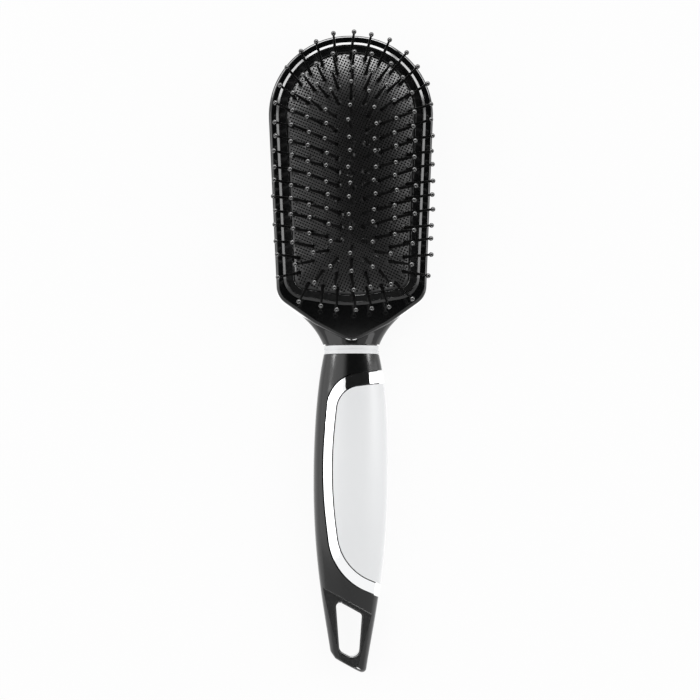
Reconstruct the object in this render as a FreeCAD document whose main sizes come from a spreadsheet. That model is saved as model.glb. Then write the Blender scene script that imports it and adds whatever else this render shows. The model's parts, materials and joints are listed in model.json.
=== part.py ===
"""Oval cushion brush: domed pin cushion in a gloss head, and a two-shell handle with a framed grip panel.

The brush lies on its back. X runs across it, +Y towards the top of the head, +Z out of the cushion.
The origin lies on the flat of the head's back, under the middle of the cushion. Sizes are in millimetres.
"""
import FreeCAD, Part
import math
import os
import Sketcher

Vector = FreeCAD.Vector
Rotation = FreeCAD.Rotation
Placement = FreeCAD.Placement

doc = FreeCAD.newDocument("cushion_brush")
sheet = doc.addObject("Spreadsheet::Sheet", "dims")

# Driving dimensions. Distances named "_at" run down the brush from the edge that their group names.
DIMENSIONS = {
    # Head, measured from the middle of the cushion
    "head_top": 55.0,
    "head_top_width": 68.0,
    "head_base": 49.0,
    "head_base_width": 58.8,
    "arch_radius": 32.6,
    "base_corner_radius": 8.0,
    "chin_shoulder": 59.6,
    "chin_shoulder_width": 29.0,
    "chin_shoulder_radius": 20.0,
    "chin_tip": 67.2,
    "chin_tip_radius": 6.5,
    "head_depth": 16.0,
    "back_round": 5.5,
    "rim_round": 1.2,
    "back_wall": 2.4,
    # Seat of the cushion in the head
    "rim_width": 2.8,
    "seat_base": 48.9,
    "seat_base_drop": 4.4,
    "seat_corner_radius": 9.0,
    "seat_base_radius": 60.0,
    "ledge_width": 2.2,
    "fit_gap": 0.15,
    # Frame that clamps the cushion
    "frame_width": 4.4,
    "frame_thickness": 2.4,
    "bead_width": 1.3,
    "bead_height": 0.9,
    "bead_wall": 0.4,
    "bead_slope": 28.0,
    "bead_round": 0.15,
    "frame_edge_round": 0.6,
    # Cushion
    "pad_thickness": 1.4,
    "pad_reveal": 0.6,
    "pad_crown": 6.0,
    "slit_length": 3.0,
    "slit_width": 0.6,
    # Plate under the cushion
    "plate_thickness": 1.6,
    "plate_vent_diameter": 4.0,
    "plate_vent_spacing": 30.0,
    # Pins
    "pin_length": 18.5,
    "pin_root_diameter": 1.4,
    "pin_root_height": 1.2,
    "pin_neck_diameter": 0.85,
    "pin_ball_diameter": 1.9,
    "pin_foot_diameter": 2.6,
    "pin_foot_thickness": 0.8,
    "pin_foot_gap": 0.35,
    "pin_hole_gap": 0.06,
    "pin_edge_inset": 2.0,
    "pins_in_outer_ring": 42,
    "pins_in_second_ring": 36,
    "pins_in_third_ring": 30,
    "pins_in_fourth_ring": 24,
    "pins_in_centre_row": 9,
    "side_lean": 31.5,
    "arch_lean_share": 0.75,
    "top_lean": 25.5,
    "foot_lean": 32.0,
    "inner_end_lean": 12.0,
    "edge_sway": 2.6,
    "centre_sway": -4.4,
    "lean_scatter": 1.5,
    # Neck and collar: the flare is measured up from the collar's upper face
    "collar_top": 68.0,
    "collar_length": 3.2,
    "collar_width": 21.9,
    "collar_depth": 13.6,
    "collar_rise": 0.7,
    "collar_groove_width": 0.5,
    "collar_groove_depth": 0.35,
    "neck_seam_width": 0.55,
    "handle_seam_width": 0.25,
    "collar_seam_depth": 0.6,
    "flare_low_at": 5.0,
    "flare_low_width": 27.0,
    "flare_low_depth": 13.3,
    "flare_mid_at": 10.0,
    "flare_mid_width": 35.0,
    "flare_mid_depth": 12.6,
    "flare_high_at": 15.0,
    "flare_high_width": 45.6,
    "flare_high_depth": 11.6,
    "flare_root_at": 24.0,
    "flare_root_width": 52.0,
    "flare_root_depth": 9.0,
    # Tang of the head inside the handle
    "tang_width": 11.0,
    "tang_depth": 7.0,
    "tang_length": 34.0,
    # Handle sections, measured down from the collar's lower face
    "shoulder_at": 24.0,
    "shoulder_width": 28.0,
    "shoulder_depth": 17.6,
    "shoulder_rise": 0.3,
    "shoulder_shift": -0.2,
    "belly_at": 50.0,
    "belly_width": 29.2,
    "belly_depth": 19.4,
    "belly_rise": 0.0,
    "belly_shift": -0.6,
    "taper_at": 78.0,
    "taper_width": 26.6,
    "taper_depth": 17.4,
    "taper_rise": 0.6,
    "taper_shift": -0.8,
    "loop_at": 102.0,
    "loop_width": 20.4,
    "loop_depth": 13.0,
    "loop_rise": 1.7,
    "loop_shift": -0.9,
    "tail_at": 128.0,
    "tail_width": 12.2,
    "tail_depth": 9.6,
    "tail_rise": 2.6,
    "tail_shift": -1.2,
    "seam_height": 8.6,
    "handle_wall": 2.2,
    "bulkhead": 3.0,
    "cavity_end_at": 90.0,
    # Hang loop at the tail, slanted across the handle
    "loop_slant": 29.0,
    "crease_at": 98.0,
    "loop_step": 3.0,
    "hole_top_at": 100.4,
    "hole_base_at": 119.5,
    "hole_top_width": 10.3,
    "hole_base_width": 7.4,
    "hole_shift": -1.45,
    "hole_top_radius": 1.5,
    "hole_base_radius": 2.9,
    "tail_end_at": 123.5,
    "tail_corner_slant": 55.0,
    "tail_corner_at": 129.4,
    "tail_round": 1.75,
    "hole_edge_round": 0.7,
    "crease_round": 0.6,
    # Grip panel and its trim
    "panel_thickness": 1.8,
    "trim_top_at": 7.9,
    "trim_top_slant": 7.1,
    "trim_corner_margin": 5.0,
    "trim_corner_radius": 13.5,
    "trim_side_at": 47.8,
    "trim_side_margin": 2.4,
    "trim_side_radius": 170.0,
    "trim_base_margin": 5.9,
    "trim_base_radius": 25.0,
    "trim_end_at": 91.4,
    "trim_end_slant": 23.0,
    "trim_side_width": 3.5,
    "trim_end_width": 5.0,
    "trim_gap": 0.5,
    "panel_gap": 0.45,
    # Screws under the panel
    "screw_diameter": 2.6,
    "screw_head_diameter": 5.0,
    "screw_head_height": 1.8,
    "screw_tip_diameter": 0.6,
    "screw_slot_width": 0.8,
    "screw_slot_length": 3.5,
    "screw_seat_wall": 1.4,
    "screw_length": 10.4,
    "screw_high_at": 18.8,
    "screw_low_at": 76.0,
    "boss_diameter": 8.4,
}

for row, (alias, value) in enumerate(DIMENSIONS.items(), start=1):
    sheet.set(f"A{row}", alias.replace("_", " "))
    sheet.set(f"B{row}", str(value))
    sheet.setAlias(f"B{row}", alias)
doc.recompute()


# Helpers

# Distance under which an edge counts as lying on a plane or an outline
NEAR = 1e-3
# Most of an outline's side that its rounded corners may take up
ROUNDED_SIDE_SHARE = 0.98
# Most of a wall that the rounding of one of its edges may take up
EDGE_SHARE = 0.45
# Most of the tail's depth that the rounding of its slanted end may take up
TAIL_ROUND_SHARE = 0.185


def number(expression):
    """Value of an expression over the sheet's cells."""
    return float(sheet.evalExpression(str(expression)))


def bind(item, **expressions):
    """Tie properties to the sheet; a double underscore in a name stands for a dot."""
    for name, expression in expressions.items():
        item.setExpression(name.replace("__", "."), str(expression))
    return item


def make(kind, name, **expressions):
    return bind(doc.addObject(kind, name), **expressions)


def centre_point(rise, depth):
    return f"({rise} + ({depth}) / 2)"


def ellipse(name, down, width, depth, rise, shift="0"):
    """Ellipse across the brush at a distance down from the origin."""
    item = doc.addObject("Part::Ellipse", name)
    item.Placement = Placement(Vector(), Rotation(Vector(1, 0, 0), 90))
    upright = number(depth) > number(width)
    if upright:
        item.Placement = Placement(Vector(), Rotation(0, 90, 90))
    long_size, short_size = (depth, width) if upright else (width, depth)
    bind(item, MajorRadius=f"({long_size}) / 2", MinorRadius=f"({short_size}) / 2")
    bind(item, Placement__Base__x=shift, Placement__Base__y=f"-({down})")
    return bind(item, Placement__Base__z=centre_point(rise, depth))


def loft(name, sections):
    item = doc.addObject("Part::Loft", name)
    item.Sections = sections
    item.Solid = True
    return item


def extrude(name, base, length, start="0"):
    """Solid on a flat outline, standing on the height that start names."""
    item = doc.addObject("Part::Extrusion", name)
    item.Base = base
    item.DirMode = "Custom"
    item.Dir = Vector(0, 0, 1)
    item.Solid = True
    return bind(item, LengthFwd=length, Placement__Base__z=start)


def offset(name, source, value):
    item = doc.addObject("Part::Offset2D", name)
    item.Source = source
    item.Join = "Intersection"
    return bind(item, Value=value)


def cut(name, base, tool):
    item = doc.addObject("Part::Cut", name)
    item.Base, item.Tool = base, tool
    item.Refine = False
    return item


def common(name, base, tool):
    item = doc.addObject("Part::Common", name)
    item.Base, item.Tool = base, tool
    item.Refine = False
    return item


def fuse(name, *shapes):
    item = doc.addObject("Part::MultiFuse", name)
    item.Shapes = list(shapes)
    item.Refine = True
    return item


def box(name, length, width, height, x="0", y="0", z="0"):
    item = make("Part::Box", name, Length=length, Width=width, Height=height)
    return bind(item, Placement__Base__x=x, Placement__Base__y=y, Placement__Base__z=z)


def cylinder(name, diameter, height, x="0", y="0", z="0"):
    item = make("Part::Cylinder", name, Radius=f"({diameter}) / 2", Height=height)
    return bind(item, Placement__Base__x=x, Placement__Base__y=y, Placement__Base__z=z)


def tangent_points(corners, index):
    """Where the arc at one corner of a rounded outline starts and ends, and its centre."""
    here = Vector(*corners[index][:2], 0)
    radius = corners[index][2]
    back = (Vector(*corners[index - 1][:2], 0) - here).normalize()
    ahead = (Vector(*corners[(index + 1) % len(corners)][:2], 0) - here).normalize()
    half_angle = back.getAngle(ahead) / 2
    reach = radius / math.tan(half_angle)
    centre = here + (back + ahead).normalize() * (radius / math.sin(half_angle))
    return here + back * reach, here + ahead * reach, centre


def turns_left(corners, index):
    """Whether an anticlockwise outline is convex at a corner."""
    here = Vector(*corners[index][:2], 0)
    before = here - Vector(*corners[index - 1][:2], 0)
    after = Vector(*corners[(index + 1) % len(corners)][:2], 0) - here
    return before.cross(after).z > 0


def radius_shares(corners):
    """Share of each corner's radius that its two sides have room for, at most all of it."""
    points = [Vector(*corner[:2], 0) for corner in corners]
    places = range(len(corners))
    reaches = [points[index].distanceToPoint(tangent_points(corners, index)[0]) for index in places]
    sides = [points[index].distanceToPoint(points[index - 1]) for index in places]
    room = [ROUNDED_SIDE_SHARE * sides[index] / (reaches[index] + reaches[index - 1]) for index in places]
    return [min(1.0, room[index], room[(index + 1) % len(corners)]) for index in places]


def rounded_sketch(name, corners):
    """Closed sketch with an arc at each corner; corners run anticlockwise as (x, y, radius) expressions."""
    sketch = doc.addObject("Sketcher::SketchObject", name)
    values = [tuple(number(part) for part in corner) for corner in corners]
    shares = radius_shares(values)
    corners = [(x, y, f"({radius}) * {share}") for (x, y, radius), share in zip(corners, shares)]
    values = [(x, y, radius * share) for (x, y, radius), share in zip(values, shares)]
    count = len(corners)
    arcs, lines, points = [], [], []
    for index, corner in enumerate(values):
        start, end, centre = tangent_points(values, index)
        first = math.atan2(start.y - centre.y, start.x - centre.x)
        last = math.atan2(end.y - centre.y, end.x - centre.x)
        circle = Part.Circle(centre, Vector(0, 0, 1), corner[2])
        sweep = (first, last) if turns_left(values, index) else (last, first)
        arcs.append(sketch.addGeometry(Part.ArcOfCircle(circle, *sweep), False))
        onward = tangent_points(values, (index + 1) % count)[0]
        lines.append(sketch.addGeometry(Part.LineSegment(end, onward), False))
        points.append(sketch.addGeometry(Part.Point(Vector(corner[0], corner[1], 0)), True))
    for index, (x, y, radius) in enumerate(corners):
        arc, line, point = arcs[index], lines[index], points[index]
        before = lines[index - 1]
        entry, leave = (1, 2) if turns_left(values, index) else (2, 1)
        sketch.addConstraint(Sketcher.Constraint("Tangent", before, 2, arc, entry))
        sketch.addConstraint(Sketcher.Constraint("Tangent", arc, leave, line, 1))
        sketch.addConstraint(Sketcher.Constraint("PointOnObject", point, 1, before))
        sketch.addConstraint(Sketcher.Constraint("PointOnObject", point, 1, line))
        drive(sketch, Sketcher.Constraint("Radius", arc, values[index][2]), radius)
        if x == "0":
            sketch.addConstraint(Sketcher.Constraint("PointOnObject", point, 1, -2))
        else:
            drive(sketch, Sketcher.Constraint("DistanceX", -1, 1, point, 1, values[index][0]), x)
        drive(sketch, Sketcher.Constraint("DistanceY", -1, 1, point, 1, values[index][1]), y)
    return sketch


def drive(sketch, constraint, expression):
    """Add a measured constraint and tie it to the sheet."""
    index = sketch.addConstraint(constraint)
    sketch.setExpression(f"Constraints[{index}]", str(expression))


def edges_where(shape, wanted):
    """Numbers of the edges that pass a test, counted from one as Part::Fillet does."""
    return [place for place, edge in enumerate(shape.Edges, start=1) if wanted(edge)]


def at_height(height):
    def lies_there(edge):
        bounds = edge.BoundBox
        return abs(bounds.ZMin - height) < NEAR and abs(bounds.ZMax - height) < NEAR
    return lies_there


def lies_over(outline):
    """Test for edges whose middle lies over a flat outline."""
    def lies_there(edge):
        middle = edge.valueAt((edge.FirstParameter + edge.LastParameter) / 2)
        return outline.Shape.distToShape(Part.Vertex(middle.x, middle.y, 0))[0] < NEAR
    return lies_there


def fillet(name, base, radius, wanted):
    doc.recompute()
    item = doc.addObject("Part::Fillet", name)
    item.Base = base
    item.Edges = [(edge, radius, radius) for edge in edges_where(base.Shape, wanted)]
    return item


def feature(name, shape):
    item = doc.addObject("Part::Feature", name)
    item.Shape = shape
    return item


SUB_PARTS = []


def sub_part(item, label):
    item.Label = label
    SUB_PARTS.append(item)
    return item


# Levels of the cushion's stack, from the front of the head down
FRAME_TOP = "dims.head_depth"
FLANGE_TOP = "(dims.head_depth - dims.frame_thickness)"
PLATE_TOP = "(dims.head_depth - dims.frame_thickness - dims.pad_thickness)"
LEDGE = "(dims.head_depth - dims.frame_thickness - dims.pad_thickness - dims.plate_thickness)"
PAD_EDGE = "(dims.head_depth - dims.pad_reveal)"
HANDLE_TOP = "(dims.collar_top + dims.collar_length)"
NECK_AXIS = "(dims.collar_rise + dims.collar_depth / 2)"

# Reaches of blocks that cut right through, past the brush on every side
ABOVE = "dims.head_depth"
ACROSS = "(4 * dims.belly_width)"
ALONG = "(2 * dims.tail_at)"
THROUGH = "(4 * dims.head_depth)"


# Outlines of the head and of the cushion's seat

def side_reach(y):
    """Half width of the head's tapering sides at a height along the brush."""
    taper = "(dims.head_top_width - dims.head_base_width) / 2 / (dims.head_top + dims.head_base)"
    return f"(dims.head_base_width / 2 + ({y} + dims.head_base) * {taper})"


def mirrored(right_side):
    """Closed outline from the corners of its right half, listed from the foot to the top."""
    left = [("-" + x, y, radius) for x, y, radius in reversed(right_side) if x != "0"]
    return right_side + left


HEAD_CORNERS = mirrored([
    ("0", "-dims.chin_tip", "dims.chin_tip_radius"),
    ("(dims.chin_shoulder_width / 2)", "-dims.chin_shoulder", "dims.chin_shoulder_radius"),
    ("(dims.head_base_width / 2)", "-dims.head_base", "dims.base_corner_radius"),
    ("(dims.head_top_width / 2)", "dims.head_top", "dims.arch_radius"),
])

SEAT_TOP = "(dims.head_top - dims.rim_width)"
SEAT_CORNERS = mirrored([
    ("0", "-(dims.seat_base + dims.seat_base_drop)", "dims.seat_base_radius"),
    (f"({side_reach('-dims.seat_base')} - dims.rim_width)", "-dims.seat_base", "dims.seat_corner_radius"),
    (f"({side_reach(SEAT_TOP)} - dims.rim_width)", SEAT_TOP, "(dims.arch_radius - dims.rim_width)"),
])

head_outline = rounded_sketch("head_outline", HEAD_CORNERS)
seat_outline = rounded_sketch("seat_outline", SEAT_CORNERS)
fitted_outline = offset("fitted_outline", seat_outline, "-dims.fit_gap")
bead_outline = offset("bead_outline", seat_outline, "-dims.fit_gap - dims.bead_width")
opening_outline = offset("opening_outline", seat_outline, "-dims.frame_width")
ledge_outline = offset("ledge_outline", seat_outline, "-dims.ledge_width")


# Seams and rings round the neck

def neck_prism(name, down, length, width, depth):
    """Oval block along the neck, from a distance down the brush."""
    item = doc.addObject("Part::Extrusion", name)
    item.Base = ellipse(f"{name}_outline", down, width, depth, f"{NECK_AXIS} - ({depth}) / 2")
    item.DirMode = "Custom"
    item.Dir = Vector(0, -1, 0)
    item.Solid = True
    return bind(item, LengthFwd=length)


def neck_ring(name, down, length, groove_depth):
    """Ring that cuts a groove of one depth into the neck, the collar or the handle's end."""
    wide = neck_prism(f"{name}_outer", down, length, "2 * dims.collar_width", "2 * dims.collar_depth")
    floor = [f"dims.collar_{size} - 2 * {groove_depth}" for size in ("width", "depth")]
    return cut(name, wide, neck_prism(f"{name}_core", down, length, *floor))


def collar_seam(name, down, length):
    return neck_ring(name, down, length, "dims.collar_seam_depth")


# Head shell: plate with the chin, flared neck and tang, with the seat and chamber cut into it

def make_head_shell():
    plate = extrude("head_plate", head_outline, "dims.head_depth")
    rounded_back = fillet("head_back_round", plate, number("dims.back_round"), at_height(0))
    front = number("dims.head_depth")
    rounded = fillet("head_rim_round", rounded_back, number("dims.rim_round"), at_height(front))
    neck_end = ("dims.collar_width", "dims.collar_depth", "dims.collar_rise")
    flare = [ellipse("neck_end", "dims.collar_top", *neck_end)]
    for station in ("low", "mid", "high", "root"):
        depth = f"dims.flare_{station}_depth"
        rise = f"{NECK_AXIS} - {depth} / 2"
        down = f"dims.collar_top - dims.flare_{station}_at"
        flare.append(ellipse(f"neck_{station}", down, f"dims.flare_{station}_width", depth, rise))
    neck = loft("neck", flare)
    tang = box(
        "tang", "dims.tang_width", "dims.tang_length + dims.flare_low_at", "dims.tang_depth",
        x="-dims.tang_width / 2", y="-dims.collar_top - dims.tang_length",
        z=f"{NECK_AXIS} - dims.tang_depth / 2",
    )
    body = fuse("head_solid", rounded, neck, tang)
    seat = extrude("seat", seat_outline, ABOVE, start=LEDGE)
    chamber_depth = f"{LEDGE} - dims.back_wall + dims.fit_gap"
    chamber = extrude("chamber", ledge_outline, chamber_depth, start="dims.back_wall")
    hole = cylinder(
        "tang_hole", "dims.screw_diameter + 2 * dims.fit_gap", ABOVE,
        y=f"-({HANDLE_TOP} + dims.screw_high_at)",
    )
    seam = collar_seam("neck_seam", "dims.collar_top - dims.neck_seam_width", "dims.neck_seam_width")
    hollow = fuse("head_hollow", seat, chamber, hole, seam)
    return sub_part(cut("head_shell", body, hollow), "head_shell")


# Frame: flat band round the cushion with a raised bead on its edge, whose top slopes outwards

def make_cushion_frame():
    wall = extrude("frame_wall", fitted_outline, "dims.frame_thickness + dims.bead_wall", start=FLANGE_TOP)
    crown_base = f"{FRAME_TOP} + dims.bead_wall"
    crown = extrude("bead_crown", fitted_outline, "dims.bead_height - dims.bead_wall", start=crown_base)
    blank = fuse("frame_blank", wall, bind(crown, TaperAngle="dims.bead_slope * 1 deg - 90 deg"))
    opening = extrude("frame_opening", opening_outline, ABOVE, start=LEDGE)
    band = extrude("frame_band", bead_outline, ABOVE, start=FRAME_TOP)
    ring = cut("frame_ring", blank, fuse("frame_hollow", opening, band))
    bead_top = number(FRAME_TOP) + number("dims.bead_height")
    bead_flat = number("dims.bead_width - (dims.bead_height - dims.bead_wall) / tan(dims.bead_slope * 1 deg)")
    bead_round = min(number("dims.bead_round"), EDGE_SHARE * bead_flat)
    beaded = fillet("frame_bead", ring, bead_round, at_height(bead_top))
    floor = at_height(number(FRAME_TOP))
    on_opening = lies_over(opening_outline)
    frame = fillet(
        "cushion_frame", beaded, number("dims.frame_edge_round"),
        lambda edge: floor(edge) and on_opening(edge),
    )
    return sub_part(frame, "cushion_frame")


# Base plate: closes the air chamber under the cushion

def make_base_plate():
    plate = extrude("plate_blank", fitted_outline, "dims.plate_thickness", start=LEDGE)
    spacing = "dims.plate_vent_spacing"
    vents = [
        cylinder(f"plate_vent_{place + 1}", "dims.plate_vent_diameter", ABOVE, y=f"{place} * {spacing}")
        for place in (-1, 0, 1)
    ]
    return sub_part(cut("cushion_base_plate", plate, fuse("plate_vents", *vents)), "cushion_base_plate")


# Cushion: loops inside its outline, its dome, its pins and its skin

SEAT_VALUES = [tuple(number(part) for part in corner) for corner in SEAT_CORNERS]
CUSHION_INSET = number("dims.frame_width + dims.fit_gap")
CUSHION_TOP = number(SEAT_TOP) - CUSHION_INSET
# How the loops inside the cushion's outline grow rounder towards its middle
CORNER_GROWTH = 0.5
WIDEST_CORNER_SHARE = 0.35
WIDEST_FOOT_SHARE = 2.2
NARROWEST_TOP_SHARE = 0.25

# Places of the dome's sections, as shares of the way from its edge to its middle
DOME_STEPS = (0.0, 0.1, 0.25, 0.45, 0.68, 0.9)
# Most of the way to where the loops close up that the dome's last section may lie
CLOSING_SHARE = 0.98


def inset_corners(corners, inset):
    """Corners of an outline drawn inwards by an even distance, sharp as they stand."""
    count = len(corners)
    lines = []
    for index in range(count):
        here = Vector(*corners[index][:2], 0)
        ahead = Vector(*corners[(index + 1) % count][:2], 0)
        along = (ahead - here).normalize()
        lines.append((here + Vector(-along.y, along.x, 0) * inset, along))
    moved = []
    for index in range(count):
        (base, along), (other, across) = lines[index - 1], lines[index]
        gap = other - base
        reach = (gap.x * across.y - gap.y * across.x) / (along.x * across.y - along.y * across.x)
        moved.append(base + along * reach)
    return moved


def cushion_half_width():
    """Inset of the cushion's middle line, no further in than the loops reach before they close up."""
    middle = number(side_reach("0")) - number("dims.rim_width") - CUSHION_INSET
    edge, inner = (inset_corners(SEAT_VALUES, CUSHION_INSET + inset) for inset in (0, 1))
    closings = [edge[corner].x / (edge[corner].x - inner[corner].x) for corner in (1, 2)]
    return min(middle, min(closings) * CLOSING_SHARE / DOME_STEPS[-1])


CUSHION_HALF_WIDTH = cushion_half_width()


def loop_radii(inset, half_width, top_half_width):
    """Radii of a loop's foot, lower corners and top: the corners grow rounder away from the edge."""
    corner = number("dims.seat_corner_radius") - CUSHION_INSET
    foot = min(number("dims.seat_base_radius") - CUSHION_INSET - inset, WIDEST_FOOT_SHARE * half_width)
    inside, outside = max(inset, 0), max(-inset, 0)
    lower = min(corner + CORNER_GROWTH * inside + outside, WIDEST_CORNER_SHARE * half_width)
    arch = number("dims.arch_radius - dims.rim_width") - CUSHION_INSET - inset
    top = max(arch, NARROWEST_TOP_SHARE * top_half_width)
    return [foot, lower, top, top, lower]


def cushion_loop(inset, height=0.0):
    """Loop of lines and arcs inside the cushion's edge, at one height, started at the top of the head."""
    points = inset_corners(SEAT_VALUES, CUSHION_INSET + inset)
    radii = loop_radii(inset, points[1].x, points[2].x)
    corners = [(point.x, point.y, radius) for point, radius in zip(points, radii)]
    shares = radius_shares(corners)
    corners = [(x, y, radius * share) for (x, y, radius), share in zip(corners, shares)]
    lift = Vector(0, 0, height)
    arcs = [tangent_points(corners, index) for index in range(len(corners))]
    edges = []
    for index, (start, end, centre) in enumerate(arcs):
        radius = corners[index][2]
        towards = (start + end) * 0.5 - centre
        middle = centre + towards.normalize() * radius
        edges.append(Part.Arc(start + lift, middle + lift, end + lift).toShape())
        onward = arcs[(index + 1) % len(arcs)][0]
        edges.append(Part.makeLine(end + lift, onward + lift))
    return Part.Wire(edges)


def dome_height(inset):
    """Rise of the dome over its edge, at a distance in from the edge."""
    share = min(inset / CUSHION_HALF_WIDTH, 1.0)
    return number("dims.pad_crown") * (1 - (1 - share) ** 2)


def prism(inset, low, high):
    return Part.Face(cushion_loop(inset, low)).extrude(Vector(0, 0, high - low))


def dome_solid(inset, foot, edge):
    """Straight wall from foot to edge height, with the dome lofted on top of it."""
    reach = CUSHION_HALF_WIDTH - inset
    insets = [inset + step * reach for step in DOME_STEPS]
    base_rise = dome_height(insets[0])
    sections = [cushion_loop(place, edge + dome_height(place) - base_rise) for place in insets]
    return prism(inset, foot, edge).fuse(Part.makeLoft(sections, True, False))


# Pins: foot under the skin, straight root through it, tapered stem and ball tip

RING_NAMES = ("outer_ring", "second_ring", "third_ring", "fourth_ring")
# How fast the pins' lean grows from the middle of the cushion to its edge
SIDE_LEAN_GROWTH = 0.6
TOP_LEAN_GROWTH = 5
FOOT_LEAN_GROWTH = 2
# Fine steps from one pin to the next, to start a ring at the top of the head
RING_STEPS = 24


def make_pin_pattern():
    foot_base = "-(dims.pad_thickness + dims.pin_foot_gap + dims.pin_foot_thickness)"
    foot = cylinder("pin_foot", "dims.pin_foot_diameter", "dims.pin_foot_thickness", z=foot_base)
    root_length = f"dims.pin_root_height - {foot_base}"
    root = cylinder("pin_root", "dims.pin_root_diameter", root_length, z=foot_base)
    stem = make("Part::Cone", "pin_stem", Placement__Base__z="dims.pin_root_height")
    bind(stem, Radius1="dims.pin_root_diameter / 2", Radius2="dims.pin_neck_diameter / 2")
    bind(stem, Height="dims.pin_length - dims.pin_root_height - dims.pin_ball_diameter / 2")
    ball = make("Part::Sphere", "pin_ball", Radius="dims.pin_ball_diameter / 2")
    bind(ball, Placement__Base__z="dims.pin_length - dims.pin_ball_diameter / 2")
    return fuse("pin_pattern", foot, root, stem, ball)


def ring_insets():
    """Distance of each ring of pins from the cushion's edge, and of the centre row last."""
    first = number("dims.pin_edge_inset")
    step = (CUSHION_HALF_WIDTH - first) / len(RING_NAMES)
    return [first + place * step for place in range(len(RING_NAMES) + 1)]


def slope(degrees):
    return math.tan(math.radians(degrees))


def side_lean_at(height, share):
    """Sideways lean of a pin: steeper round the arch, full further down the sides."""
    arch_radius = number("dims.arch_radius")
    below_arch = (number("dims.head_top") - arch_radius - height) / arch_radius
    arch_share = number("dims.arch_lean_share")
    reached = arch_share + (1 - arch_share) * min(max(below_arch, 0), 1)
    return number("dims.side_lean") * reached * share ** SIDE_LEAN_GROWTH


def pin_placement(point, outward, share, serial):
    """Stand a pin on the dome, leaning outwards by its ring's share of the full lean."""
    golden_turn = math.radians(137.5)
    scatter = slope(number("dims.lean_scatter"))
    edge_lean, growth = "dims.foot_lean", FOOT_LEAN_GROWTH
    if outward.y > 0:
        edge_lean, growth = "dims.top_lean", TOP_LEAN_GROWTH
    inner_lean = number("dims.inner_end_lean")
    side = slope(side_lean_at(point.y, share))
    end = slope(inner_lean + (number(edge_lean) - inner_lean) * share ** growth)
    centre_sway = number("dims.centre_sway")
    sway = slope(centre_sway + (number("dims.edge_sway") - centre_sway) * share)
    lean = Vector(outward.x * side + sway, outward.y * end, 1)
    lean += Vector(math.cos(serial * golden_turn), math.sin(serial * golden_turn), 0) * scatter
    return Placement(point, Rotation(Vector(0, 0, 1), lean.normalize()))


def ring_placements(inset, count):
    loop = cushion_loop(inset)
    fine = loop.discretize(Number=count * RING_STEPS + 1)[:-1]
    top = max(range(len(fine)), key=lambda index: fine[index].y)
    points = [fine[(top + place * RING_STEPS) % len(fine)] for place in range(count)]
    edge_inset = number("dims.pin_edge_inset")
    share = 1 - (inset - edge_inset) / (CUSHION_HALF_WIDTH - edge_inset)
    height = number(PAD_EDGE) + dome_height(inset)
    placements = []
    for index, point in enumerate(points):
        along = points[(index + 1) % count] - points[index - 1]
        outward = Vector(along.y, -along.x, 0).normalize()
        spot = Vector(point.x, point.y, height)
        placements.append(pin_placement(spot, outward, share, index))
    return placements


def row_ends():
    """Upper end of the centre row and the spacing of its pins."""
    low = -number("dims.seat_base + dims.seat_base_drop") + CUSHION_INSET + CUSHION_HALF_WIDTH
    high = CUSHION_TOP - CUSHION_HALF_WIDTH
    return high, (high - low) / (number("dims.pins_in_centre_row") - 1)


def row_placements():
    high, spacing = row_ends()
    height = number(PAD_EDGE) + number("dims.pad_crown")
    count = int(number("dims.pins_in_centre_row"))
    return [
        pin_placement(Vector(0, high - place * spacing, height), Vector(), 0, place)
        for place in range(count)
    ]


def all_placements():
    rings = {
        f"pins_{name}": ring_placements(inset, int(number(f"dims.pins_in_{name}")))
        for name, inset in zip(RING_NAMES, ring_insets())
    }
    rings["pins_centre_row"] = row_placements()
    return rings


def make_pins(rings):
    pattern = make_pin_pattern()
    doc.recompute()
    for name, placements in rings.items():
        solids = []
        for placement in placements:
            pin = pattern.Shape.copy()
            pin.Placement = placement
            solids.append(pin.Solids[0])
        sub_part(feature(name, Part.makeCompound(solids)), name)


def make_cushion_pad(rings):
    thickness = number("dims.pad_thickness")
    edge = number(PAD_EDGE)
    flange_foot, flange_top = number(PLATE_TOP), number(FLANGE_TOP)
    fit = number("dims.fit_gap")
    flange = prism(fit - CUSHION_INSET, flange_foot, flange_top)
    skin = dome_solid(0.0, flange_foot, edge)
    inner_edge = edge - thickness + dome_height(thickness)
    hollow = dome_solid(thickness, flange_foot, inner_edge)
    pad = flange.fuse(skin).removeSplitter().cut(hollow)
    hole_radius = number("dims.pin_root_diameter") / 2 + number("dims.pin_hole_gap")
    reach = 2 * thickness
    tools = []
    for placement in [place for ring in rings.values() for place in ring]:
        hole = Part.makeCylinder(hole_radius, 2 * reach, Vector(0, 0, -reach))
        hole.Placement = placement
        tools.append(hole)
    tools.append(slit_tool(edge))
    return sub_part(feature("cushion_pad", pad.cut(Part.makeCompound(tools))), "cushion_pad")


def slit_tool(edge):
    """Air slit on the middle line, between the two lowest pins of the centre row."""
    high, spacing = row_ends()
    length, width = number("dims.slit_length"), number("dims.slit_width")
    middle = high - spacing * (number("dims.pins_in_centre_row") - 1.5)
    return Part.makeBox(width, length, number(ABOVE), Vector(-width / 2, middle - length / 2, edge))


# Collar between neck and handle

def make_collar():
    sizes = ("dims.collar_length", "dims.collar_width", "dims.collar_depth")
    blank = neck_prism("collar_blank", "dims.collar_top", *sizes)
    middle = "dims.collar_top + dims.collar_length / 2 - dims.collar_groove_width / 2"
    groove = neck_ring("collar_groove", middle, "dims.collar_groove_width", "dims.collar_groove_depth")
    bore = tang_space("collar_bore", "dims.collar_top", "dims.collar_length")
    return sub_part(cut("neck_collar", blank, fuse("collar_hollow", groove, bore)), "neck_collar")


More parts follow.
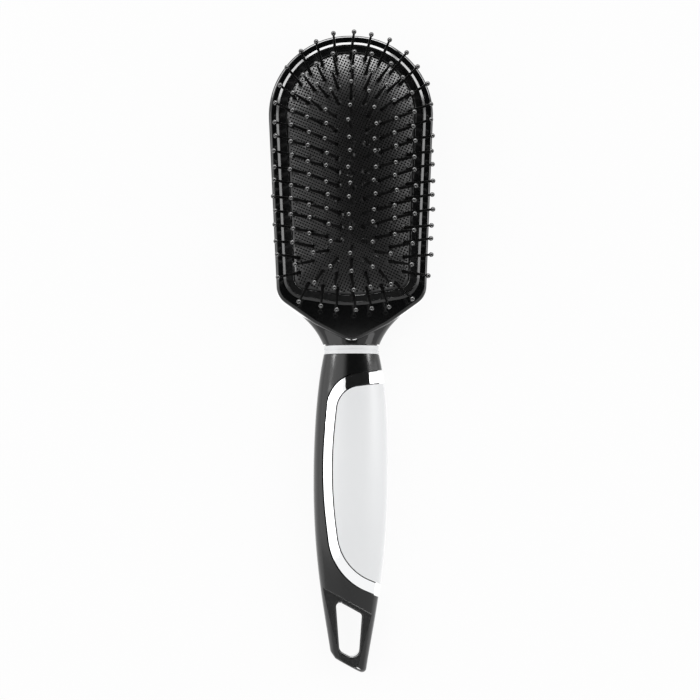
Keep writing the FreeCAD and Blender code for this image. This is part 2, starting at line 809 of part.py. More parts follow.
def tang_space(name, down, length):
    """Box round the tang with the fit's gap on every side."""
    width = "(dims.tang_width + 2 * dims.fit_gap)"
    depth = "(dims.tang_depth + 2 * dims.fit_gap)"
    return box(
        name, width, length, depth,
        x=f"-{width} / 2", y=f"-({down}) - ({length})", z=f"{NECK_AXIS} - {depth} / 2",
    )


# Handle: lofted body, its hang loop, the recess for the grip and the two shells

HANDLE_STATIONS = ("shoulder", "belly", "taper", "loop", "tail")


def handle_loft(name, inset, stations=HANDLE_STATIONS):
    """Loft through the handle's sections, drawn in by an even inset."""
    def section(station, down, width, depth, rise, shift):
        return ellipse(
            f"{name}_{station}", f"{HANDLE_TOP} + {down}",
            f"{width} - 2 * ({inset})", f"{depth} - 2 * ({inset})", f"{rise} + ({inset})", shift,
        )

    sections = [section("top", "0", "dims.collar_width", "dims.collar_depth", "dims.collar_rise", "0")]
    for station in stations:
        sizes = [f"dims.{station}_{size}" for size in ("at", "width", "depth", "rise", "shift")]
        sections.append(section(station, *sizes))
    return loft(name, sections)


def below_slant(at, x, slant="dims.loop_slant"):
    """Place on a line that crosses the handle on a slant, given where it meets the middle."""
    return f"-({HANDLE_TOP} + {at} + ({x}) * tan({slant} * 1 deg))"


def on_slant(at, slant="dims.loop_slant"):
    """Test for edges that lie in the slanted plane through one place on the middle line."""
    def off_plane(point):
        return abs(point.y - number(below_slant(at, point.x, slant)))

    return lambda edge: all(off_plane(point) < NEAR for point in edge.discretize(5))


def slanted_block(name, at, base, slant="dims.loop_slant"):
    """Everything below a slanted line across the handle, from the height that base names upwards."""
    turn = f"{slant} * 1 deg"
    block = box(name, ACROSS, ALONG, THROUGH, z=base)
    block.Placement.Rotation = Rotation(Vector(0, 0, 1), -number(slant))
    bind(block, Placement__Rotation__Angle=f"-{turn}")
    bind(block, Placement__Base__x=f"-{ACROSS} / 2 * cos({turn}) - {ALONG} * sin({turn})")
    corner_y = f"{ACROSS} / 2 * sin({turn}) - {ALONG} * cos({turn}) - {HANDLE_TOP} - {at}"
    return bind(block, Placement__Base__y=corner_y)


def grip_outline(name, side, end, gap):
    """Front view of the grip, drawn in at its side and ends; it runs out past the handle's right edge."""
    far = f"({ACROSS} / 2)"
    far_radius = "dims.trim_corner_radius"
    top_rise, end_drop = "tan(dims.trim_top_slant * 1 deg)", "tan(dims.trim_end_slant * 1 deg)"
    corner_x = f"-(dims.shoulder_width / 2 - dims.trim_corner_margin - {side} - {gap})"
    side_x = f"-(dims.belly_width / 2 - dims.trim_side_margin - dims.belly_shift - {side} - {gap})"
    base_x = f"-(dims.taper_width / 2 - dims.trim_base_margin - dims.taper_shift - {side} - {gap})"

    def top(x):
        return f"-({HANDLE_TOP} + dims.trim_top_at - {x} * {top_rise} + {end} + {gap})"

    def base(x):
        return f"-({HANDLE_TOP} + dims.trim_end_at + {x} * {end_drop} - {end} - {gap})"

    return rounded_sketch(name, [
        (far, top(far), far_radius),
        (corner_x, top(corner_x), f"(dims.trim_corner_radius - {side} - {gap})"),
        (side_x, f"-({HANDLE_TOP} + dims.trim_side_at)", "dims.trim_side_radius"),
        (base_x, base(base_x), f"(dims.trim_base_radius - {side} - {gap})"),
        (far, base(far), far_radius),
    ])


def grip_prism(name, side="0", end="0", gap="0"):
    outline = grip_outline(f"{name}_outline", side, end, gap)
    return extrude(name, outline, THROUGH, start="-dims.head_depth")


def make_grip(outer, recess_core):
    """Trim frame and panel, both cut from the handle's own outer layer."""
    frame_widths = ("dims.trim_side_width", "dims.trim_end_width")
    trim_outer = grip_prism("trim_outer", gap="dims.trim_gap")
    trim_inner = grip_prism("trim_inner", *frame_widths)
    trim_band = common("trim_band", outer, cut("trim_ring", trim_outer, trim_inner))
    sub_part(cut("grip_trim", trim_band, recess_core), "grip_trim")
    panel_block = common("panel_block", outer, grip_prism("panel_space", *frame_widths, "dims.panel_gap"))
    sub_part(cut("grip_panel", panel_block, recess_core), "grip_panel")


def make_tail(body):
    """End the handle on a slant, thin it below the crease and open the hang hole."""
    end, corner = ("dims.tail_end_at",), ("dims.tail_corner_at", "dims.tail_corner_slant")
    tail_cut = fuse("tail_cut", *(
        slanted_block(name, line[0], "-dims.head_depth", *line[1:])
        for name, line in (("tail_end_cut", end), ("tail_corner_cut", corner))
    ))
    ended = cut("handle_ended", body, tail_cut)
    tail_round = min(number("dims.tail_round"), TAIL_ROUND_SHARE * number("dims.tail_depth"))
    on_end, on_corner = on_slant(*end), on_slant(*corner)
    rounded = fillet("handle_tail", ended, tail_round, lambda edge: on_end(edge) or on_corner(edge))
    step_height = "(dims.loop_rise + dims.loop_depth - dims.loop_step)"
    stepped = cut("handle_stepped", rounded, slanted_block("step_cut", "dims.crease_at", step_height))
    on_step, on_crease = at_height(number(step_height)), on_slant("dims.crease_at")
    creased = fillet(
        "handle_crease", stepped, number("dims.crease_round"),
        lambda edge: on_step(edge) and on_crease(edge),
    )
    hole_outline, hole = make_hang_hole()
    on_hole = lies_over(hole_outline)
    return fillet(
        "handle_hole_edge", cut("handle_looped", creased, hole), number("dims.hole_edge_round"),
        lambda edge: on_step(edge) and on_hole(edge),
    )


def make_handle(outer, recess_core):
    """Hollow body with the grip's recess, split at the seam into its two shells."""
    cavity_core = handle_loft("cavity_core", "dims.panel_thickness + dims.handle_wall", HANDLE_STATIONS[:-1])
    hollowed = cut("handle_hollowed", make_tail(outer), make_socket_and_cavity(cavity_core))
    recess = cut("grip_recess", grip_prism("grip_space"), recess_core)
    recessed = cut("handle_recessed", hollowed, recess)
    body = cut("handle_solid", recessed, collar_seam("handle_seam", HANDLE_TOP, "dims.handle_seam_width"))
    corner = {"x": f"-{ACROSS} / 2", "y": f"-{HANDLE_TOP} - {ALONG}"}
    front_half = box("front_half", ACROSS, ALONG, THROUGH, **corner, z="dims.seam_height")
    back_half = box("back_half", ACROSS, ALONG, THROUGH, **corner, z=f"dims.seam_height - {THROUGH}")
    sub_part(common("handle_front_shell", body, front_half), "handle_front_shell")
    sub_part(common("handle_back_shell", body, back_half), "handle_back_shell")


def make_hang_hole():
    """Slanted four-sided hole with rounded corners through the tail."""
    def corner(end, sign):
        x = f"(dims.hole_shift {sign} dims.hole_{end}_width / 2)"
        return x, below_slant(f"dims.hole_{end}_at", x), f"dims.hole_{end}_radius"

    ends = [("base", "+"), ("top", "+"), ("top", "-"), ("base", "-")]
    outline = rounded_sketch("hang_hole_outline", [corner(end, sign) for end, sign in ends])
    return outline, extrude("hang_hole", outline, THROUGH, start="-dims.head_depth")


def make_socket_and_cavity(cavity_core):
    """Tang socket, hollow with screw bosses left standing in it, and the screws' own holes."""
    length = "(dims.tang_length - dims.collar_length + dims.fit_gap)"
    socket = tang_space("tang_socket", HANDLE_TOP, length)
    start = f"({length} + dims.bulkhead)"
    block = box(
        "cavity_block", ACROSS, f"dims.cavity_end_at - {start}", THROUGH,
        x=f"-{ACROSS} / 2", y=f"-{HANDLE_TOP} - dims.cavity_end_at", z="-dims.head_depth",
    )
    low_y = f"-({HANDLE_TOP} + dims.screw_low_at)"
    boss = cylinder("screw_boss", "dims.boss_diameter", THROUGH, y=low_y, z="-dims.head_depth")
    cavity = cut("handle_cavity", common("cavity_space", cavity_core, block), boss)
    holes = []
    for place in ("high", "low"):
        y = f"-({HANDLE_TOP} + dims.screw_{place}_at)"
        shank = "dims.screw_diameter + 2 * dims.fit_gap"
        tip = f"{SCREW_SEAT} - dims.screw_length - dims.fit_gap"
        depth = "dims.screw_length + 2 * dims.fit_gap"
        holes.append(cylinder(f"screw_hole_{place}", shank, depth, y=y, z=tip))
        bore = "dims.screw_head_diameter + 2 * dims.fit_gap"
        holes.append(cylinder(f"screw_bore_{place}", bore, ABOVE, y=y, z=SCREW_SEAT))
    return fuse("handle_inside", socket, cavity, *holes)


# Screws under the grip panel

SCREW_SEAT = f"({NECK_AXIS} + dims.tang_depth / 2 + dims.fit_gap + dims.screw_seat_wall)"


def make_screws():
    shank = cylinder("screw_shank", "dims.screw_diameter", "dims.screw_length - dims.screw_diameter")
    bind(shank, Placement__Base__z="-(dims.screw_length - dims.screw_diameter)")
    tip = make("Part::Cone", "screw_tip", Placement__Base__z="-dims.screw_length")
    bind(tip, Height="dims.screw_diameter")
    bind(tip, Radius1="dims.screw_tip_diameter / 2", Radius2="dims.screw_diameter / 2")
    head = cylinder("screw_head", "dims.screw_head_diameter", "dims.screw_head_height")
    long_size, short_size = "dims.screw_slot_length", "dims.screw_slot_width"
    slots = [
        box(
            name, length, width, "dims.screw_head_height",
            x=f"-{length} / 2", y=f"-{width} / 2", z="dims.screw_head_height / 2",
        )
        for name, length, width in (
            ("screw_slot_across", long_size, short_size),
            ("screw_slot_along", short_size, long_size),
        )
    ]
    screw = cut("screw_pattern", fuse("screw_blank", shank, tip, head), fuse("screw_slots", *slots))
    doc.recompute()
    solids = []
    for place in ("high", "low"):
        copy = screw.Shape.copy()
        down = number(f"{HANDLE_TOP} + dims.screw_{place}_at")
        copy.Placement = Placement(Vector(0, -down, number(SCREW_SEAT)), Rotation())
        solids.append(copy.Solids[0])
    sub_part(feature("handle_screws", Part.makeCompound(solids)), "handle_screws")


pin_rings = all_placements()
make_head_shell()
make_cushion_frame()
make_base_plate()
make_cushion_pad(pin_rings)
make_pins(pin_rings)
make_collar()
handle_outer = handle_loft("handle_outer", "0")
grip_floor = handle_loft("grip_floor", "dims.panel_thickness")
make_grip(handle_outer, grip_floor)
make_handle(handle_outer, grip_floor)
make_screws()
doc.recompute()

for item in doc.Objects:
    if "Invalid" in item.State or "Error" in item.State:
        raise RuntimeError(f"{item.Name} failed: {item.State}")
os.makedirs("parts", exist_ok=True)
for item in SUB_PARTS:
    if item.Shape.isNull() or not item.Shape.isValid():
        raise RuntimeError(f"{item.Label} has no valid shape")
    item.Shape.exportStep(f"parts/{item.Label}.step")
    print(item.Label, len(item.Shape.Solids), round(item.Shape.Volume, 1))
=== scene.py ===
# %% [markdown]
# # An oval cushion brush, dressed for its portrait
# The brush arrives as a finished solid model: every moulding, pin and screw already has its size and place.
# What is left for Blender is what the eye sees: the net on the rubber cushion, the finishes, the light and
# the view. Every object is in metres and stands in the solid model's own frame, so nothing has to be fitted
# by hand.

# %% Load the solid model
import json
import math

import bpy
from mathutils import Euler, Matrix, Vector


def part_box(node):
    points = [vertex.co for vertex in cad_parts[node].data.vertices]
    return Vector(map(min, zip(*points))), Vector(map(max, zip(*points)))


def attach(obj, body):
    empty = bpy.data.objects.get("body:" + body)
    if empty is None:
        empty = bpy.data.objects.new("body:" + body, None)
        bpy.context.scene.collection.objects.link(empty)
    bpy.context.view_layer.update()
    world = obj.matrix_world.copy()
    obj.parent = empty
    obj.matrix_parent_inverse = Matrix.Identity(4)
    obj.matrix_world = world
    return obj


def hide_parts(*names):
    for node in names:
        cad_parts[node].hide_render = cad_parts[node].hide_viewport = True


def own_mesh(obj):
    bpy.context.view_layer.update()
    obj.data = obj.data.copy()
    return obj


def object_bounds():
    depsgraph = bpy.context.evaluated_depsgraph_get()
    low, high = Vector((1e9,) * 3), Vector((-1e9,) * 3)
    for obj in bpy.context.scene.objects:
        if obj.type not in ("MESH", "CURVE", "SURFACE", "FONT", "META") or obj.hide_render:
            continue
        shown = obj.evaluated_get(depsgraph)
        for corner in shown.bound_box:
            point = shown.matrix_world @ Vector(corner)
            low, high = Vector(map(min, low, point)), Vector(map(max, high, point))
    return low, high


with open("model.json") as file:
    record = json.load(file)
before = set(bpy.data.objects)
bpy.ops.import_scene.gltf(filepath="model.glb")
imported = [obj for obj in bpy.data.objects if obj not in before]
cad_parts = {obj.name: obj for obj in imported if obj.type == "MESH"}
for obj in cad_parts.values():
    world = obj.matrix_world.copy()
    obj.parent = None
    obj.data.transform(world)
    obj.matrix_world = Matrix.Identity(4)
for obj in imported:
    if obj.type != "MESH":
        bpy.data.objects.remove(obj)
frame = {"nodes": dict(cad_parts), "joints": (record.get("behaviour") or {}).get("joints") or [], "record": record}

MM = 0.001
solid_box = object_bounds()
print("solid parts:", ", ".join(sorted(frame["nodes"])))

# %% [markdown]
# ## Levels of the brush
# A piece that is placed by typed numbers drifts as soon as the solid model changes.
# So the few heights that the scene needs are read from the solid parts themselves.

# %% Read the levels
pad_low, pad_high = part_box("cushion_pad")
press_joint = next(joint for joint in frame["joints"] if joint["name"] == "cushion_press")
press_travel = press_joint["range_m"][1]
pad_edge = press_joint["deforming_nodes"][0]["fixed_end_z_m"]
crown = pad_high.z - pad_edge
print(f"cushion edge at {pad_edge / MM:.1f} mm, crown {crown / MM:.1f} mm")
print(f"press {press_travel / MM:.1f} mm")

# %% [markdown]
# ## The camera
# The photograph looks straight down on the brush from about a metre away, from very slightly left of it
# and from the handle's side. A view without perspective would come close, but a long lens at a real distance
# keeps the little perspective that the photo has.

# %% Set the camera
PHOTO_PIXELS = 700
MM_PER_PIXEL = 0.3956
CUSHION_MIDDLE_PIXEL = Vector((351.5, 174.0))
CAMERA_DISTANCE = 0.95
CAMERA_PITCH = math.radians(3.5)
CAMERA_YAW = math.radians(1.3)
CAMERA_ROLL = math.radians(-0.2)
AIM_HEIGHT = 10 * MM
SENSOR_WIDTH = 36.0

picture_middle = Vector((PHOTO_PIXELS / 2, PHOTO_PIXELS / 2))
from_middle = (picture_middle - CUSHION_MIDDLE_PIXEL) * MM_PER_PIXEL * MM
aim = Vector((from_middle.x, -from_middle.y, AIM_HEIGHT))
turn = Euler((CAMERA_PITCH, -CAMERA_YAW, CAMERA_ROLL))
looking = Vector((0, 0, -1))
looking.rotate(turn)

bpy.ops.object.camera_add(location=aim - looking * CAMERA_DISTANCE, rotation=turn)
camera = bpy.context.object
camera.name = "portrait_camera"
camera.data.sensor_width = SENSOR_WIDTH
camera.data.lens = SENSOR_WIDTH * CAMERA_DISTANCE / (PHOTO_PIXELS * MM_PER_PIXEL * MM)
bpy.context.scene.camera = camera
print(f"camera lens {camera.data.lens:.0f} mm, aimed at y = {aim.y / MM:.1f} mm")

# %% [markdown]
# ## Sums with sockets
# A material is a web of nodes, and sums made of single Math nodes are hard to read.
# This small class wraps one socket, so that `1 - seen` can be written as it stands and adds its node itself.

# %% Define the signal class
class Signal:
    """One socket of a node tree that Python's own signs can reckon with."""

    def __init__(self, tree, socket=None):
        self.tree = tree
        self.socket = socket

    def node(self, kind, settings=None, inputs=None, output=0):
        """Add a node, its settings first and then its inputs' values or links, and give back one output."""
        made = self.tree.nodes.new(kind)
        for name, value in (settings or {}).items():
            setattr(made, name, value)
        for name, value in (inputs or {}).items():
            if isinstance(value, Signal):
                self.tree.links.new(value.socket, made.inputs[name])
            else:
                made.inputs[name].default_value = value
        return Signal(self.tree, made.outputs[output] if made.outputs else None)

    def reckon(self, operation, first, second):
        """Add one Math node."""
        return self.node("ShaderNodeMath", {"operation": operation}, {0: first, 1: second})

    def __add__(self, other):
        return self.reckon("ADD", self, other)

    __radd__ = __add__

    def __sub__(self, other):
        return self.reckon("SUBTRACT", self, other)

    def __rsub__(self, other):
        return self.reckon("SUBTRACT", other, self)

    def __mul__(self, other):
        return self.reckon("MULTIPLY", self, other)

    __rmul__ = __mul__


print("signals add, subtract and multiply")

# %% [markdown]
# ## Shared parts of every finish
# Moulded plastic is never one flat colour: its gloss varies a little where it was handled or cooled, and its
# skin has a faint wave. A painted picture could show that, but noise needs no picture and fits any shape.
# Two noises on Object coordinates, one coarse and one fine, give both.

# %% Define the parts that finishes share
def new_finish(name):
    """Empty material and a signal to build its nodes from."""
    material = bpy.data.materials.new(name)
    material.use_nodes = True
    material.node_tree.nodes.clear()
    return material, Signal(material.node_tree)


def noise(start, per_metre, detail=2.0):
    """Noise from 0 to 1 on the piece's own coordinates, with so many blots to the metre."""
    place = start.node("ShaderNodeTexCoord", output="Object")
    inputs = {"Vector": place, "Scale": per_metre, "Detail": detail}
    return start.node("ShaderNodeTexNoise", {"noise_dimensions": "3D"}, inputs)


def between(start, share, low, high):
    """Colour between two colours."""
    inputs = {0: share, 6: (*low, 1), 7: (*high, 1)}
    return start.node("ShaderNodeMix", {"data_type": "RGBA"}, inputs, output=2)


def surface(start, inputs):
    """Close a finish with its shader."""
    shader = start.node("ShaderNodeBsdfPrincipled", inputs=inputs)
    start.node("ShaderNodeOutputMaterial", inputs={"Surface": shader})


print("shared parts of the finishes are ready")

# %% Define a moulded finish
COARSE_BLOTS = 60.0
FINE_BLOTS = 900.0
COARSE_SHARE = 0.7
WAVE_HEIGHT = 0.1 * MM


def moulded(name, dark, light, roughness, spread, wave, shine=0.5):
    """Smooth moulding: slight colour drift, uneven gloss and a faint wave of the skin."""
    material, start = new_finish(name)
    coarse = noise(start, COARSE_BLOTS)
    fine = noise(start, FINE_BLOTS, detail=4.0)
    height = coarse * COARSE_SHARE + fine * (1 - COARSE_SHARE)
    waves = {"Strength": wave, "Distance": WAVE_HEIGHT, "Height": height}
    surface(start, {
        "Base Color": between(start, coarse, dark, light),
        "Roughness": roughness + fine * spread,
        "Specular IOR Level": shine,
        "Normal": start.node("ShaderNodeBump", inputs=waves),
    })
    return material


print(f"blots of {1 / COARSE_BLOTS / MM:.0f} and {1 / FINE_BLOTS / MM:.1f} mm")

# %% [markdown]
# ## Plastics
# The head is a polished black moulding. The frame, the handle and the nylon pins are about as dark but softer
# in their shine, and the collar and the grip panel are white with a soft sheen. Each could have nodes of its
# own, but they differ only in colour and gloss, so one function makes them all.

# %% Make the plastics
BLACK = (0.0022, 0.0024, 0.0025), (0.0034, 0.0036, 0.0037)
WHITE = (0.77, 0.78, 0.79), (0.80, 0.807, 0.813)
NYLON = (0.004, 0.004, 0.004), (0.007, 0.007, 0.007)
PLATE = (0.02, 0.02, 0.02), (0.03, 0.03, 0.03)

gloss_black = moulded("gloss_black", *BLACK, roughness=0.05, spread=0.04, wave=0.02)
satin_black = moulded("satin_black", *BLACK, roughness=0.14, spread=0.06, wave=0.03, shine=0.45)
gloss_white = moulded("gloss_white", *WHITE, roughness=0.32, spread=0.06, wave=0.02)
pin_nylon = moulded("pin_nylon", *NYLON, roughness=0.10, spread=0.08, wave=0.03, shine=0.45)
plate_plastic = moulded("plate_plastic", *PLATE, roughness=0.5, spread=0.15, wave=0.2)
plastics = (gloss_black, satin_black, gloss_white, pin_nylon, plate_plastic)
print("plastics:", [finish.name for finish in plastics])

# %% [markdown]
# ## Chrome and steel
# The trim round the panel is plated, so it is a mirror with almost no roughness. The hidden screws are zinc
# plated steel with a duller grain. A clean mirror looks drawn, so one very fine noise breaks up both metals.

# %% Make the metals
GRAIN_BLOTS = 1500.0
CHROME = (0.90, 0.91, 0.92), (0.94, 0.945, 0.95)
ZINC = (0.50, 0.50, 0.52), (0.62, 0.62, 0.64)


def metal(name, dark, light, roughness, spread):
    """Plated metal with a fine grain in its colour and its gloss."""
    material, start = new_finish(name)
    grain = noise(start, GRAIN_BLOTS, detail=5.0)
    surface(start, {
        "Base Color": between(start, grain, dark, light),
        "Metallic": 1.0,
        "Roughness": roughness + grain * spread,
    })
    return material


polished_chrome = metal("polished_chrome", *CHROME, roughness=0.02, spread=0.03)
screw_steel = metal("screw_steel", *ZINC, roughness=0.25, spread=0.2)
print("metals:", polished_chrome.name, screw_steel.name)

# %% [markdown]
# ## Rubber
# The cushion is black rubber with a satin shine on the threads of its net, which is modelled further down.
# The hollows between the threads get a darker, dull finish. It is painted shade and makes them look like dark
# dots. A mask would have to find the hollows again, so they get a second finish of their own.

# %% Make the rubber
THREAD = (0.004, 0.004, 0.0042), (0.008, 0.008, 0.0082)
HOLLOW_SHADE = (0.001, 0.001, 0.001), (0.003, 0.003, 0.003)

cushion_rubber = moulded("cushion_rubber", *THREAD, roughness=0.28, spread=0.10, wave=0.08, shine=0.38)
# The hollows' darker colour and weak shine are painted shade, standing in for the shadow in the hollows.
hollow_shade_rubber = moulded("hollow_shade_rubber", *HOLLOW_SHADE, roughness=0.8, spread=0.15, wave=0.2, shine=0.05)
print("rubber:", cushion_rubber.name, hollow_shade_rubber.name)

# %% [markdown]
# ## Dress the solid parts
# The record says which material slot each solid part takes, so one loop gives every part its finish.
# The frame and the handle share the head's slot, but the photo's highlights are softer on them, so they
# change to satin black.

# %% Assign the finishes
FINISHES = {
    "gloss_black": gloss_black,
    "gloss_white": gloss_white,
    "polished_chrome": polished_chrome,
    "cushion_rubber": cushion_rubber,
    "pin_nylon": pin_nylon,
    "plate_plastic": plate_plastic,
    "screw_steel": screw_steel,
}
SATIN_PARTS = ("cushion_frame", "handle_front_shell", "handle_back_shell")

for part in frame["record"]["subparts"]:
    solid = frame["nodes"][part["node"]]
    solid.data.materials.clear()
    solid.data.materials.append(FINISHES[part["material_slot"]])
for node in SATIN_PARTS:
    frame["nodes"][node].data.materials[0] = satin_black

# %% [markdown]
# ## Small tools for modelling
# Operators act on whatever is selected, so each step starts by clearing the selection,
# and faces are then picked by where they lie.

# %% Define the modelling tools
WELD = 0.002 * MM


def only(obj):
    """Select one object alone and make it active."""
    bpy.ops.object.select_all(action="DESELECT")
    obj.select_set(True)
    bpy.context.view_layer.objects.active = obj


def copy_of(node, name):
    """Separate copy of a solid part's mesh with its loose triangles joined up."""
    source = frame["nodes"][node]
    piece = bpy.data.objects.new(name, source.data.copy())
    bpy.context.scene.collection.objects.link(piece)
    only(piece)
    bpy.ops.object.mode_set(mode="EDIT")
    bpy.ops.mesh.select_all(action="SELECT")
    bpy.ops.mesh.remove_doubles(threshold=WELD)
    bpy.ops.object.mode_set(mode="OBJECT")
    return piece


def pick_faces(obj, wanted):
    """Select the faces that pass a test, leave edit mode on and give back how many there are."""
    only(obj)
    bpy.ops.object.mode_set(mode="EDIT")
    bpy.ops.mesh.select_mode(type="FACE")
    bpy.ops.mesh.select_all(action="DESELECT")
    bpy.ops.object.mode_set(mode="OBJECT")
    chosen = [wanted(face) for face in obj.data.polygons]
    obj.data.polygons.foreach_set("select", chosen)
    bpy.ops.object.mode_set(mode="EDIT")
    return sum(chosen)


def apply_all(obj):
    """Apply every modifier of an object in turn."""
    only(obj)
    for modifier in list(obj.modifiers):
        bpy.ops.object.modifier_apply(modifier=modifier.name)


print("modelling tools are ready")

# %% [markdown]
# ## The cushion's dome and flange
# The rubber skin bulges out of the frame when it rests and sinks when the pins are pressed, while its flange stays
# clamped. A new skin could be modelled, but the solid one already has the right crown and holes. So a copy is
# parted at the height of its edge, into the dome above and the flange below.

# %% Part the cushion at its edge
CUT_SHARPNESS = 0.001 * MM
SKIN_CREASE = math.radians(30)


def half_of_pad(name, keep_upper):
    """Closed copy of the skin's part above or below its edge."""
    piece = copy_of("cushion_pad", name)
    bpy.ops.object.mode_set(mode="EDIT")
    bpy.ops.mesh.select_all(action="SELECT")
    bpy.ops.mesh.bisect(
        plane_co=(0, 0, pad_edge), plane_no=(0, 0, 1), use_fill=True, threshold=CUT_SHARPNESS,
        clear_inner=keep_upper, clear_outer=not keep_upper,
    )
    bpy.ops.object.mode_set(mode="OBJECT")
    bpy.ops.object.shade_smooth_by_angle(angle=SKIN_CREASE)
    return piece


cushion_dome = half_of_pad("cushion_dome", True)
cushion_flange = half_of_pad("cushion_flange", False)
for piece in (cushion_dome, cushion_flange):
    print(piece.name, "has", len(piece.data.polygons), "faces of", piece.data.materials[0].name)

# %% [markdown]
# ## The net on the cushion
# The rubber's face is moulded as a fine square net that runs askew to the brush, with a small hollow in every
# mesh. Bump in a material could draw it, but threads that stand up also show from the side. So a flat grid is
# laid over the dome and dropped on it with Shrinkwrap, as cloth would fall. What misses the dome or dips into
# a pin's hole is deleted. Then one inset leaves the threads and a second one sinks the hollows.

# %% Lay the grid over the dome
MESH_PITCH = 1.13 * MM
NET_TURN = math.radians(-25.5)
DROP_HEIGHT = pad_high.z + 5 * MM
NET_LIFT = 0.3 * MM
reach = Vector((pad_high.x, max(pad_high.y, -pad_low.y))).length
rows = 2 * math.ceil(reach / MESH_PITCH)

bpy.ops.object.select_all(action="DESELECT")
bpy.ops.mesh.primitive_grid_add(
    x_subdivisions=rows, y_subdivisions=rows, size=rows * MESH_PITCH,
    location=(0, 0, DROP_HEIGHT), rotation=(0, 0, NET_TURN),
)
cushion_net = bpy.context.object
cushion_net.name = "cushion_net"
bpy.ops.object.transform_apply(location=True, rotation=True, scale=True)
drop = cushion_net.modifiers.new("drop", "SHRINKWRAP")
drop.target = cushion_dome
drop.wrap_method = "PROJECT"
drop.use_project_z = True
drop.use_negative_direction = True
drop.use_positive_direction = False
drop.offset = NET_LIFT
apply_all(cushion_net)
print("grid of", len(cushion_net.data.polygons), "meshes")

# %% Keep the meshes that lie on the dome
STEEPEST = math.cos(math.radians(34))
MISSED_BY = 1 * MM


def off_the_dome(face):
    """Whether a mesh hangs beside the dome or dips into a pin's hole."""
    heights = [cushion_net.data.vertices[corner].co.z for corner in face.vertices]
    missed = max(heights) > pad_high.z + MISSED_BY or min(heights) < pad_edge
    return missed or face.normal.z < STEEPEST


removed = pick_faces(cushion_net, off_the_dome)
bpy.ops.mesh.delete(type="FACE")
bpy.ops.object.mode_set(mode="OBJECT")
print("removed", removed, "and kept", len(cushion_net.data.polygons))

# %% Give the net its thickness and sink the hollows
NET_THICKNESS = 0.45 * MM
THREAD_HALF_WIDTH = 0.2 * MM
HOLLOW_SLOPE = 0.05 * MM
HOLLOW_DEPTH = 0.2 * MM
FACING_UP = 0.5
THREAD_CREASE = math.radians(20)

thicken = cushion_net.modifiers.new("thicken", "SOLIDIFY")
thicken.thickness = NET_THICKNESS
thicken.offset = -1
apply_all(cushion_net)
sunk = pick_faces(cushion_net, lambda face: face.normal.z > FACING_UP)
bpy.ops.mesh.inset(use_individual=True, thickness=THREAD_HALF_WIDTH, depth=0)
bpy.ops.mesh.inset(use_individual=True, thickness=HOLLOW_SLOPE, depth=-HOLLOW_DEPTH)
# The sunk hollows take the second finish, which paints shade into them.
cushion_net.data.materials.append(cushion_rubber)
cushion_net.data.materials.append(hollow_shade_rubber)
cushion_net.active_material_index = 1
bpy.ops.object.material_slot_assign()
bpy.ops.object.mode_set(mode="OBJECT")
bpy.ops.object.shade_smooth_by_angle(angle=THREAD_CREASE)
triangles = sum(len(face.vertices) - 2 for face in cushion_net.data.polygons)
print("sunk", sunk, "hollows,", triangles, "triangles")

# %% [markdown]
# ## The cushion rides on the brush
# When the pins are pressed, the real skin flattens towards its clamped edge. Shape keys or a squash along the pins
# could show that. Here the dome, the net and the flange only ride on the brush.

# %% Hang the cushion's pieces on the brush
for piece in (cushion_dome, cushion_flange, cushion_net):
    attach(piece, "brush")
for piece in (cushion_dome, cushion_net):
    1 - press_travel / crown
    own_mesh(piece)
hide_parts("cushion_pad")
print(f"the cushion flattens to {1 - press_travel / crown:.2f} of its crown")

# %% [markdown]
# ## Floor and tent
# The brush lies on white in a white tent. A floor that is only lit needs so much light to look white that the
# grip panel would clip. So most of the floor's look is a plain glow, which only the camera and gloss see, and
# the rest is paper, which keeps the brush's shadow. Gloss sees the floor brighter than white, as a lit sheet
# is close to its lamps, and that glare makes the pale edges of the black handle.

# %% Lay the floor
FLOOR_SIZE = 8.0
FLOOR_GAP = 0.1 * MM
FLOOR_GLARE = 1.6
GLOW_SHARE = 0.92
PAPER = (0.84, 0.84, 0.84), (0.86, 0.86, 0.86)
PAPER_BLOTS = 3.0

bpy.ops.object.select_all(action="DESELECT")
bpy.ops.mesh.primitive_plane_add(size=FLOOR_SIZE, location=(0, 0, solid_box[0][2] - FLOOR_GAP))
floor = bpy.context.object
floor.name = "floor"

floor_white, start = new_finish("floor_white")
by_camera = start.node("ShaderNodeLightPath", output="Is Camera Ray")
by_gloss = start.node("ShaderNodeLightPath", output="Is Glossy Ray")
mottle = between(start, noise(start, PAPER_BLOTS), *PAPER)
paper = start.node("ShaderNodeBsdfDiffuse", inputs={"Color": mottle})
level = by_camera + by_gloss * FLOOR_GLARE
glow = start.node("ShaderNodeEmission", inputs={"Color": level, "Strength": 1.0})
share = (by_camera + by_gloss) * GLOW_SHARE
mixed = start.node("ShaderNodeMixShader", inputs={0: share, 1: paper, 2: glow})
start.node("ShaderNodeOutputMaterial", inputs={"Surface": mixed})
floor.data.materials.append(floor_white)
print("floor laid at", round(floor.location.z / MM, 2), "mm")

# %% Light the tent
TENT_FILL = 0.70

world = bpy.data.worlds.new("white_tent")
bpy.context.scene.world = world
world.use_nodes = True
world.node_tree.nodes.clear()
start = Signal(world.node_tree)
seen = start.node("ShaderNodeLightPath", output="Is Camera Ray")
for name in ("Is Glossy Ray", "Is Transmission Ray"):
    seen = start.reckon("MAXIMUM", seen, start.node("ShaderNodeLightPath", output=name))
strength = seen + (1 - seen) * TENT_FILL
tent = start.node("ShaderNodeBackground", inputs={"Color": (1, 1, 1, 1), "Strength": strength})
start.node("ShaderNodeOutputWorld", inputs={"Surface": tent})
print("the tent looks white and lights the brush at", TENT_FILL)

# %% [markdown]
# ## Cards over the brush
# The tent's top is open and dark, and the black plastic shows it as the deep band along the handle. The light
# of the tent could have a hole there, but a card is easier to place. So a level dark card stands for the
# opening, and a grey one tones the tail. Only reflections see them, so they shade nothing.

# %% Hang the cards
CARD_HEIGHT = 0.6
FELT_BLOTS = 200.0
FELT_CONTRAST = 1.1


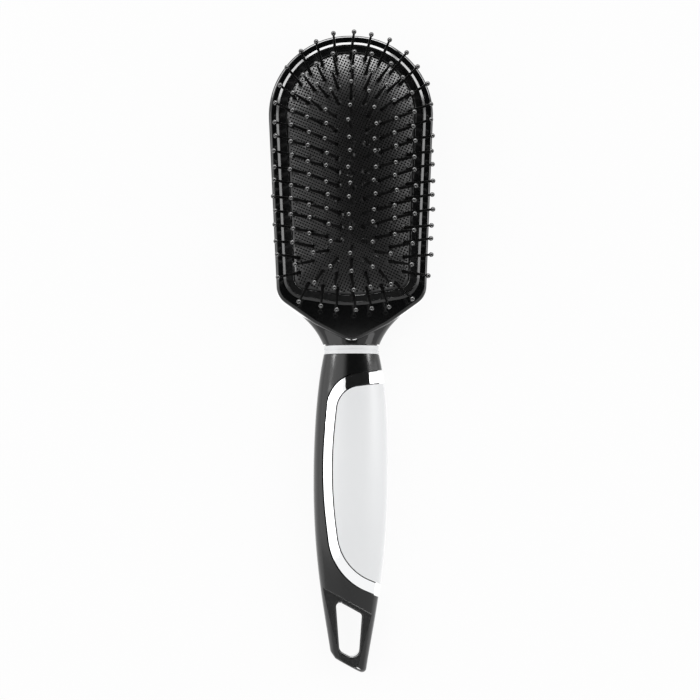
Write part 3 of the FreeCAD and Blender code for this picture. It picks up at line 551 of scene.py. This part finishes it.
def hang_card(name, sides, ends, shade):
    """Level card whose edges are given as tilts in degrees off the vertical, seen from the origin."""
    left, right, foot, top = (CARD_HEIGHT * math.tan(math.radians(tilt)) for tilt in (*sides, *ends))
    middle = ((left + right) / 2, (foot + top) / 2, CARD_HEIGHT)
    bpy.ops.object.select_all(action="DESELECT")
    bpy.ops.mesh.primitive_plane_add(size=1, location=middle)
    card = bpy.context.object
    card.name = name
    card.scale = (right - left, top - foot, 1)
    card.visible_camera = False
    card.visible_diffuse = False
    card.visible_shadow = False
    card.visible_transmission = False
    finish, start = new_finish(f"{name}_felt")
    weave = between(start, noise(start, FELT_BLOTS), (shade,) * 3, (shade * FELT_CONTRAST,) * 3)
    felt = start.node("ShaderNodeBsdfDiffuse", inputs={"Color": weave})
    start.node("ShaderNodeOutputMaterial", inputs={"Surface": felt})
    card.data.materials.append(finish)
    print(name, round(right - left, 2), "by", round(top - foot, 2), "m")


hang_card("dark_card", sides=(-13, 46), ends=(-2.5, 36), shade=0.015)
hang_card("grey_card", sides=(-14, 14), ends=(-27, -16), shade=0.75)

# %% [markdown]
# ## Lamps
# Black plastic shows little but what it mirrors, so each lamp is placed for the highlight that it makes. Two
# large softboxes light the brush and are mirrored along the handle's sides. Small bright strips draw the thin
# white lines: the top and corner strips on the bead round the cushion and on the top of the net, the bead
# strips on the bead's long sides, and the chin strips on the lip below the cushion. The strips would flood
# paler surfaces with light, so only gloss sees them.

# %% Set up the lamps
LAMP_DISTANCE = 0.9


def softbox(name, sideways, forward, width, length, glow):
    """Flat lamp that faces the picture's middle from two tilts in degrees off the vertical.

    Its power grows with its face, so glow alone sets how bright it looks.
    """
    leaning = Vector((math.tan(math.radians(sideways)), math.tan(math.radians(forward)), 1))
    towards = leaning.normalized()
    place = Vector((0, aim.y, 0)) + towards * LAMP_DISTANCE
    turn = towards.to_track_quat("Z", "Y").to_euler()
    bpy.ops.object.light_add(type="AREA", location=place, rotation=turn)
    lamp = bpy.context.object
    lamp.name = name
    lamp.data.shape = "RECTANGLE"
    lamp.data.size = width
    lamp.data.size_y = length
    lamp.data.energy = glow * math.pi * width * length
    return lamp


def strip(name, **measures):
    """Small bright lamp that only shows as a highlight in gloss."""
    lamp = softbox(name, **measures)
    lamp.visible_diffuse = False


softbox("left_box", sideways=-58, forward=18, width=0.9, length=1.3, glow=1.0)
softbox("right_box", sideways=72, forward=18, width=0.5, length=1.3, glow=1.7)
strip("top_strip", sideways=0, forward=66, width=0.8, length=0.36, glow=24.0)
for side, name in ((-1, "left"), (1, "right")):
    strip(f"{name}_corner_strip", sideways=side * 54, forward=54, width=0.45, length=0.3, glow=16.0)
    strip(f"{name}_bead_strip", sideways=side * 56, forward=18, width=0.2, length=0.14, glow=6.0)
    strip(f"{name}_chin_strip", sideways=side * 40, forward=-74, width=0.24, length=0.36, glow=22.0)

# %% [markdown]
# ## Plain colours
# The view keeps plain colours.

# %% Keep plain colours
bpy.context.scene.view_settings.view_transform = "Standard"
